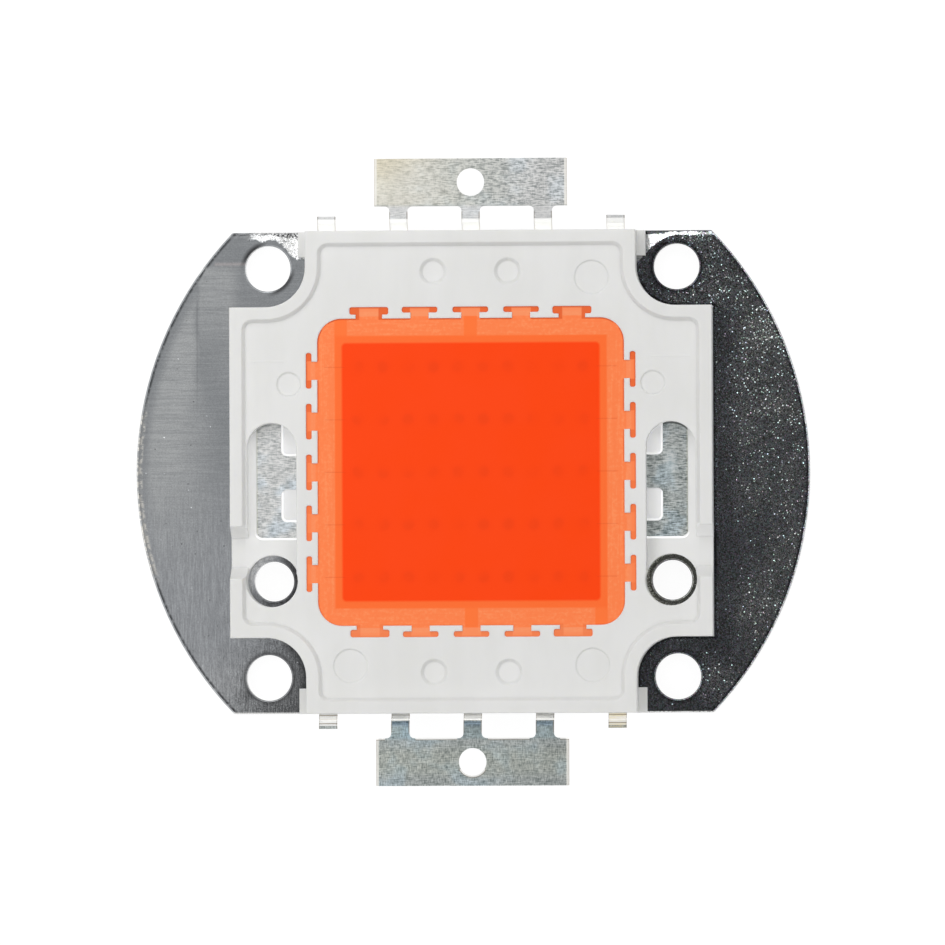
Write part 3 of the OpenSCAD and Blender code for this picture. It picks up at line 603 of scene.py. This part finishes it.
# Bending scored the lower legs; painted highlights whiten the bends and the upper legs past them, and
# painted dark reflections lie past the lower legs' bends
stubs_from_mm = 9.0
crease_mm = -20.5
turn_mm = -20.79
level_mm = -20.82
stripe_pitch_mm = 0.34
on_legs = work_out(tree, "LESS_THAN", out_x, stubs_from_mm)
on_stubs = work_out(tree, "GREATER_THAN", out_x, stubs_from_mm)
legs = spread(tree, out_y, 20.0, 20.05, 0.0, 1.0)
bend = times(tree, legs, spread(tree, out_y, 20.95, 21.05, 1.0, 0.0))
low_legs = times(
    tree, work_out(tree, "LESS_THAN", y, 0.0), on_legs, spread(tree, out_y, 20.55, 20.65, 0.0, 1.0))
bend = times(tree, bend, left_over(tree, low_legs))
tin_tone = tint(tree, bend, tin_tone, (0.99, 0.99, 0.96, 1))
upper_bend_highlight = times(tree, bend, work_out(tree, "GREATER_THAN", y, 0.0))
bend_below = work_out(tree, "SUBTRACT", bend, upper_bend_highlight)
upper_legs = times(tree, spread(tree, y, 20.9, 21.0, 0.0, 0.4), spread(tree, y, 22.2, 21.9, 0.0, 1.0))
tin_tone = tint(tree, upper_legs, tin_tone, (1.0, 1.0, 1.0, 1))
bend_lines = use(tree, brush_lines, Position=where, Lines_per_mm=(0.5, 5.0, 0.5))["Lines"]
scored = times(tree, bend_below, spread(tree, bend_lines, 0.42, 0.52, 0.35, 0.0))
tin_tone = tint(tree, scored, tin_tone, (0.55, 0.57, 0.57, 1))
# Painted shadow of the frame across the lower legs
by_frame = times(
    tree, spread(tree, y, -20.24, -20.14, 0.0, 0.5), legs, work_out(tree, "LESS_THAN", y, 0.0))
tin_tone = tint(tree, by_frame, tin_tone, (0.38, 0.36, 0.33, 1))
# Painted highlight: a bright line across the lower leads at the crease
crease_highlight = away_from(tree, y, crease_mm)
crease_highlight = spread(tree, crease_highlight, 0.04, 0.09, 1.0, 0.0)
tin_tone = tint(tree, crease_highlight, tin_tone, (0.99, 0.98, 0.94, 1))
low_stub = times(tree, bend_below, on_stubs)
# Painted dark reflections past the lower legs' bend, deepest where they level again
past_bend = times(
    tree, spread(tree, y, -20.60, -20.66, 0.0, 1.0), spread(tree, y, -22.3, -21.9, 0.0, 1.0), on_legs)
tin_tone = tint(tree, past_bend, tin_tone, (0.87, 0.96, 1.0, 1), blend="MULTIPLY")
lower_bend = times(tree, past_bend, spread(tree, y, -21.24, -21.14, 0.0, 1.0))
tin_tone = tint(tree, lower_bend, tin_tone, (0.9, 0.91, 0.93, 1), blend="MULTIPLY")
turn = away_from(tree, y, turn_mm)
turn = times(tree, spread(tree, turn, 0.1, 0.36, 1.0, 0.0), past_bend)
tin_tone = tint(tree, turn, tin_tone, (0.86, 0.90, 0.98, 1), blend="MULTIPLY")
level_again = away_from(tree, y, level_mm)
level_again = times(tree, spread(tree, level_again, 0.05, 0.14, 1.0, 0.0), past_bend)
tin_tone = tint(tree, level_again, tin_tone, (0.48, 0.50, 0.52, 1), blend="MULTIPLY")
straw_stub = times(
    tree, legs, on_stubs, spread(tree, far_corner, 20.0, 27.0, 0.0, 1.0),
    spread(tree, bend_lines, 0.4, 0.6, 1.0, 0.2))
tin_tone = tint(tree, straw_stub, tin_tone, (1.0, 0.88, 0.58, 1))
stub_stripes = work_out(tree, "PINGPONG", work_out(tree, "ADD", y, 30.0), stripe_pitch_mm / 2)
stub_stripes = spread(tree, stub_stripes, 0.02, 0.06, 1.0, 0.0)
tin_tone = tint(tree, times(tree, low_stub, stub_stripes, 0.75), tin_tone, (0.34, 0.27, 0.18, 1))

# The cutter leaves bare sides on the legs and the stubs, and a copper line on the tabs' ends, which
# carry a painted highlight
leg_pitch_mm = 6.0
stub_x_mm = 12.01
from_leg = work_out(tree, "PINGPONG", work_out(tree, "ADD", x, 5 * leg_pitch_mm), leg_pitch_mm / 2)
from_stub = away_from(tree, out_x, stub_x_mm)
from_strip = choose(tree, on_stubs, from_leg, from_stub)
bare_side = times(
    tree, spread(tree, from_strip, 0.66, 0.70, 0.0, 0.7), legs,
    spread(tree, out_y, 21.5, 21.7, 1.0, 0.0))
tin_tone = tint(tree, bare_side, tin_tone, (0.30, 0.27, 0.22, 1))
tab_end = times(
    tree, spread(tree, out_x, 7.76, 7.80, 0.0, 0.8), spread(tree, out_y, 21.9, 22.0, 0.0, 1.0),
    spread(tree, out_x, 8.05, 8.1, 1.0, 0.0))
tin_tone = tint(tree, tab_end, tin_tone, (0.97, 0.95, 0.89, 1))
copper_line = times(tree, tab_end, spread(tree, out_x, 7.93, 7.96, 0.0, 0.45))
tin_tone = tint(tree, copper_line, tin_tone, (0.42, 0.36, 0.30, 1))

# The upper tab's inner edge is darker
inner_edge = times(
    tree, spread(tree, y, 22.2, 22.08, 0.0, 0.6), on_upper_tab,
    spread(tree, from_leg, 0.7, 1.0, 0.0, 1.0))
tin_tone = tint(tree, inner_edge, tin_tone, (0.28, 0.31, 0.28, 1))

# Painted highlights whiten the lower tab's inner edge and the lower side of its hole, with a bare line
# beside
tab_edge_mm = -22.05
tab_hole_mm = (0, -24.025, 0)
tab_hole_radius_mm = 1.15
past_edge = work_out(tree, "SUBTRACT", tab_edge_mm, y)
past_edge = work_out(tree, "MULTIPLY_ADD", spread(tree, from_leg, 1.3, 0.9, 0.0, 1.0), 3.0, past_edge)
level = put(tree, "CombineXYZ", {"X": x, "Y": y}).outputs[0]
past_hole = work_out(tree, "SUBTRACT", distance(tree, level, tab_hole_mm), tab_hole_radius_mm)
past_hole = work_out(tree, "ADD", past_hole, spread(tree, y, -24.2, -24.7, 1.0, 0.0))
past_edge = work_out(tree, "MINIMUM", work_out(tree, "ABSOLUTE", past_edge), past_hole)
past_edge = choose(tree, work_out(tree, "LESS_THAN", y, -21.9), 3.0, past_edge)
tin_tone = tint(tree, spread(tree, past_edge, 0.17, 0.20, 0.55, 0.0), tin_tone, (0.36, 0.31, 0.25, 1))
edge_highlight = spread(tree, past_edge, 0.09, 0.12, 0.9, 0.0)
tin_tone = tint(tree, edge_highlight, tin_tone, (0.98, 0.97, 0.93, 1))
tree.links.new(tin_tone, shader.inputs["Base Color"])
tree.links.new(left_over(tree, times(tree, tab_end, 0.8)), shader.inputs["Metallic"])
tree.links.new(spread(tree, skin["Patches"], 0.3, 0.7, 0.36, 0.42), shader.inputs["Roughness"])
# Painted glow: the lower stubs, the bends and the lower tab's white edges glow as if lit
lit_stub = times(tree, low_stub, work_out(tree, "SUBTRACT", 0.55, times(tree, stub_stripes, 0.5)))
low_bend = times(
    tree, spread(tree, y, -20.60, -20.5, 0.0, 0.36), work_out(tree, "SUBTRACT", bend_below, scored),
    left_over(tree, by_frame))
lit_bend = most(
    tree, times(tree, upper_bend_highlight, 0.6), crease_highlight, lit_stub, low_bend, times(tree, edge_highlight, 0.5))
tree.links.new(lit_bend, shader.inputs["Emission Color"])
shader.inputs["Emission Strength"].default_value = 0.5
lay_bump = bumps(tree, lay, 0.000004)
tree.links.new(lay_bump, shader.inputs["Normal"])
for name in ("upper_lead", "lower_lead"):
    round_edges(dress(name, tinned), radius_mm=0.08, steps=2)

# Die epoxy.
# A thin square of silver-filled glue under each die, cured to a dull grey.
# It holds the die to the base plate and carries its heat.
silver_glue, tree, shader, where = new_finish("Silver glue")
skin = use(tree, skin_grain, Position=where, Grains_per_mm=20.0, Patches_per_mm=2.0)
tree.links.new(
    tint(tree, skin["Grain"], (0.55, 0.55, 0.57, 1), (0.78, 0.78, 0.80, 1)),
    shader.inputs["Base Color"])
tree.links.new(spread(tree, skin["Patches"], 0.3, 0.7, 0.45, 0.65), shader.inputs["Roughness"])
shader.inputs["Metallic"].default_value = 0.6
for row in range(1, 6):
    dress(f"die_epoxy_{row}", silver_glue)

# Dies.
# Fifty square LED dies, cut from a polished wafer and set in five rows of ten.
# Each row is wired in series from one lead to the other.
die_face, tree, shader, where = new_finish("Die face")
skin = use(tree, skin_grain, Position=where, Grains_per_mm=12.0, Patches_per_mm=1.0)
tree.links.new(
    tint(tree, skin["Patches"], (0.16, 0.22, 0.42, 1), (0.26, 0.34, 0.56, 1)),
    shader.inputs["Base Color"])
tree.links.new(spread(tree, skin["Grain"], 0.3, 0.7, 0.12, 0.22), shader.inputs["Roughness"])
for row in range(1, 6):
    dress(f"die_row_{row}", die_face)

# Bond wires.
# Gold wire finer than a hair, looped from die to die and out to the leads' bars.
# Each end is welded down as a small flat ball.
gold, tree, shader, where = new_finish("Gold wire")
skin = use(tree, skin_grain, Position=where, Grains_per_mm=15.0, Patches_per_mm=1.5)
tree.links.new(
    tint(tree, skin["Patches"], (0.92, 0.66, 0.22, 1), (1.0, 0.78, 0.36, 1)),
    shader.inputs["Base Color"])
tree.links.new(spread(tree, skin["Grain"], 0.3, 0.7, 0.18, 0.3), shader.inputs["Roughness"])
shader.inputs["Metallic"].default_value = 1.0
for row in range(1, 6):
    dress(f"bond_wires_{row}", gold)

# Phosphor gel.
# Soft silicone filled with orange phosphor, poured into the well over the dies and cured there.
# It looks deep over the cavity, lighter over the lip and palest where a lead's bar lies close below.
gel, tree, shader, where = new_finish("Phosphor gel")
deep_orange = (0.89, 0.054, 0.002, 1)
lip_orange = (0.89, 0.144, 0.029, 1)
bar_orange = (0.89, 0.214, 0.071, 1)
shade_orange = (0.70, 0.11, 0.026, 1)
well_half_mm = 12.725
cavity_half_mm = 10.7
key_depth_mm = 0.95

# The bars of one lead, as they lie below the gel
lead_bars, given, result = new_effect("Lead bars", {"Position": "Vector"}, {"Bars": "Float"})
bar_mm = 12.3
bar_half_mm = 1.0
bar_edge = {"Position": given[0], "Soft_edge": 0.08}
side_bar = use(lead_bars, rectangle, Middle=(bar_mm, 0, 0), Half_size=(bar_half_mm, 13.3, 1), **bar_edge)
right_bar = use(
    lead_bars, rectangle, Middle=(6.9, bar_mm, 0), Half_size=(6.35, bar_half_mm, 1), **bar_edge)
left_bar = use(
    lead_bars, rectangle, Middle=(-5.4, bar_mm, 0), Half_size=(4.85, bar_half_mm, 1), **bar_edge)
bars = most(lead_bars, right_bar["Inside"], left_bar["Inside"], side_bar["Inside"])
lead_bars.links.new(bars, result["Bars"])

x, y = put(tree, "SeparateXYZ", {0: where}).outputs[:2]
out_x = work_out(tree, "ABSOLUTE", x)
out_y = work_out(tree, "ABSOLUTE", y)
turned = put(tree, "VectorMath", {0: where, 1: (-1, -1, 1)}, operation="MULTIPLY").outputs[0]
bars = most(tree, use(tree, lead_bars, Position=where)[0], use(tree, lead_bars, Position=turned)[0])
cavity = use(
    tree, rectangle, Position=where, Half_size=(cavity_half_mm, cavity_half_mm, 1), Corner=0.35,
    Soft_edge=0.13)
on_lead_side = work_out(tree, "GREATER_THAN", out_y, out_x)
lines = use(tree, brush_lines, Position=where, Lines_per_mm=(0.5, 5.0, 1.0))["Lines"]
side_lines = use(tree, brush_lines, Position=where, Lines_per_mm=(4.5, 0.15, 1.0))["Lines"]
lines = choose(tree, on_lead_side, side_lines, lines)
skin = use(tree, skin_grain, Position=where, Grains_per_mm=4.0, Patches_per_mm=0.25)
mottled = times(tree, work_out(tree, "ADD", lines, skin["Grain"]), 0.5)
bar_tone = tint(tree, spread(tree, mottled, 0.38, 0.62, 0.0, 1.0), (0.88, 0.198, 0.062, 1), bar_orange)
bar_tone = tint(tree, spread(tree, mottled, 0.5, 0.64, 0.0, 0.6), bar_tone, (0.90, 0.275, 0.105, 1))
beyond = most(tree, out_x, out_y)
lip_tone = tint(tree, spread(tree, beyond, 11.1, 11.5, 0.0, 1.0), lip_orange, (0.89, 0.166, 0.037, 1))
gel_tone = tint(tree, bars, lip_tone, bar_tone)
heads = times(
    tree, spread(tree, beyond, 12.85, 12.95, 0.0, 1.0), spread(tree, out_y, 12.8, 12.9, 0.35, 0.6))
gel_tone = tint(tree, heads, gel_tone, (0.84, 0.30, 0.14, 1))
gel_tone = tint(tree, cavity["Inside"], gel_tone, deep_orange)

# Dies show as faint dots, and the outer wires as hair lines over the lip
column_pitch_mm = 2.0756
row_pitch_mm = 4.35
column = work_out(
    tree, "PINGPONG", work_out(tree, "ADD", x, 20.5 * column_pitch_mm), column_pitch_mm / 2)
row = work_out(tree, "PINGPONG", work_out(tree, "ADD", y, 20 * row_pitch_mm), row_pitch_mm / 2)
spot = work_out(
    tree, "SQRT",
    work_out(tree, "ADD", work_out(tree, "POWER", column, 2.0), work_out(tree, "POWER", row, 2.0)))
spot = times(
    tree, spread(tree, spot, 0.2, 0.85, 1.0, 0.0), spread(tree, skin["Patches"], 0.35, 0.65, 0.25, 1.0),
    cavity["Inside"])
gel_tone = tint(tree, times(tree, spot, 0.33), gel_tone, (0.68, 0.037, 0.0027, 1))
hair = times(
    tree, spread(tree, row, 0.02, 0.09, 1.0, 0.0), spread(tree, out_x, 10.2, 10.6, 0.0, 1.0),
    spread(tree, out_x, 12.0, 12.3, 1.0, 0.0), spread(tree, out_y, 9.2, 9.6, 1.0, 0.0))
gel_tone = tint(tree, times(tree, hair, 0.25), gel_tone, (0.6, 0.05, 0.01, 1))

# Painted shadow of the wall: a darker line along the well between the keys, and along the keys' ends,
# strongest towards the upper side
key_pitch_mm = 4.2125
well = use(
    tree, rectangle, Position=where, Half_size=(well_half_mm, well_half_mm, 1), Corner=2.0,
    Soft_edge=0.05)
along_wall = choose(tree, on_lead_side, y, x)
from_key = work_out(
    tree, "PINGPONG", work_out(tree, "ADD", along_wall, 20 * key_pitch_mm), key_pitch_mm / 2)
wall_line = times(
    tree, spread(tree, well["Depth"], 0.05, 0.17, 1.0, 0.0),
    spread(tree, from_key, 0.75, 0.85, 0.0, 1.0))
key_end_mm = well_half_mm + key_depth_mm
end_line = spread(tree, beyond, key_end_mm - 0.2, key_end_mm - 0.05, 0.0, 0.8)
far_side = spread(tree, y, -6.0, 12.0, 0.35, 0.9)
wall_line = times(tree, most(tree, wall_line, end_line), far_side)
gel_tone = tint(tree, wall_line, gel_tone, shade_orange)
tree.links.new(gel_tone, shader.inputs["Base Color"])
tree.links.new(spread(tree, skin["Patches"], 0.3, 0.7, 0.36, 0.44), shader.inputs["Roughness"])
shader.inputs["IOR"].default_value = 1.41
shader.inputs["Specular IOR Level"].default_value = 0.22
# A faint painted glow keeps the gel bright
tree.links.new(gel_tone, shader.inputs["Emission Color"])
shader.inputs["Emission Strength"].default_value = 0.15
gel_bump = bumps(tree, skin["Patches"], 0.00003)
tree.links.new(gel_bump, shader.inputs["Normal"])
dress("phosphor_gel", gel)

# Floor.
# A wide white sheet that the chip lies on, seen through its holes as well.
floor_size_mm = 6000
floor_below_mm = 0.05
bpy.ops.mesh.primitive_plane_add(size=floor_size_mm / 1000, location=(0, 0, -floor_below_mm / 1000))
floor = bpy.context.object
floor.name = "white_floor"
paper = bpy.data.materials.new("White sheet")
paper.use_nodes = True
tree = paper.node_tree
tree.nodes.clear()
sheet = put(tree, "BsdfPrincipled", {"Base Color": (0.13, 0.13, 0.13, 1), "Roughness": 0.9})
glow = put(tree, "Emission", {"Color": (1, 1, 1, 1), "Strength": 0.93})
both = put(tree, "AddShader", {0: sheet.outputs[0], 1: glow.outputs[0]})
put(tree, "OutputMaterial", {"Surface": both.outputs[0]})
floor.data.materials.append(paper)

# Light.
# A white tent, darker straight above where the camera looks in,
# with a soft box behind and one to the upper left.
tent = bpy.data.worlds.new("White tent")
bpy.context.scene.world = tent
tent.use_nodes = True
tree = tent.node_tree
tree.nodes.clear()
ray = put(tree, "SeparateXYZ", {0: put(tree, "TexCoord").outputs["Generated"]})
wall = times(
    tree, spread(tree, ray.outputs["Z"], 0.35, 0.65, 0.25, 1.9),
    spread(tree, ray.outputs["Z"], 0.86, 0.965, 1.0, 0.07))
side = work_out(tree, "ADD", 1.0, times(tree, ray.outputs["Y"], 0.12))
side = work_out(tree, "ADD", side, times(tree, ray.outputs["X"], -0.05))
backdrop = put(tree, "Background", {"Color": times(tree, wall, side), "Strength": 0.66})
put(tree, "OutputWorld", {"Surface": backdrop.outputs[0]})


def soft_box(name, middle_mm, aim_mm, size_mm, level, turn=0.0):
    """A soft box of even brightness, aimed at a point."""
    lamp = bpy.data.lights.new(name, "AREA")
    lamp.shape = "RECTANGLE"
    lamp.size = size_mm[0] / 1000
    lamp.size_y = size_mm[1] / 1000
    lamp.energy = level * math.pi * lamp.size * lamp.size_y
    box = bpy.data.objects.new(name, lamp)
    bpy.context.scene.collection.objects.link(box)
    middle = Vector(middle_mm) / 1000
    aim = Vector(aim_mm) / 1000
    facing = (aim - middle).to_track_quat("-Z", "Y").to_matrix().to_4x4()
    box.matrix_world = Matrix.Translation(middle) @ facing @ Matrix.Rotation(math.radians(turn), 4, "Z")
    box.visible_camera = False


soft_box("rear_box", middle_mm=(-60, 260, 220), aim_mm=(0, 0, 0), size_mm=(200, 160), level=1.0)
soft_box(
    "upper_left_box", middle_mm=(-66.8, 35.9, 120), aim_mm=(-66.8, 35.9, 0), size_mm=(120, 180),
    level=0.55, turn=152)

# Camera.
# A long lens almost straight above, a little to the right of the middle and towards the lower tab.
camera = bpy.data.objects.new("camera", bpy.data.cameras.new("camera"))
bpy.context.scene.collection.objects.link(camera)
bpy.context.scene.camera = camera
photo_width_mm = 78.38
distance_mm = 1000.0
sensor_mm = 36
camera.data.sensor_width = sensor_mm
camera.data.lens = sensor_mm * distance_mm / photo_width_mm
camera.data.clip_start = 0.05
camera.data.clip_end = 10
tilt = Matrix.Rotation(math.radians(0.30), 3, "Z") @ Matrix.Rotation(math.radians(-3.51), 3, "Y")
tilt = tilt @ Matrix.Rotation(math.radians(-1.218), 3, "X")
view = tilt.transposed()
target_mm = Vector((0, 0, 2)) + view @ Vector((0.017, -0.033, 0))
place_mm = target_mm + view @ Vector((0, 0, distance_mm))
camera.matrix_world = Matrix.Translation(place_mm / 1000) @ view.to_4x4()

bpy.context.scene.view_settings.view_transform = "Standard"
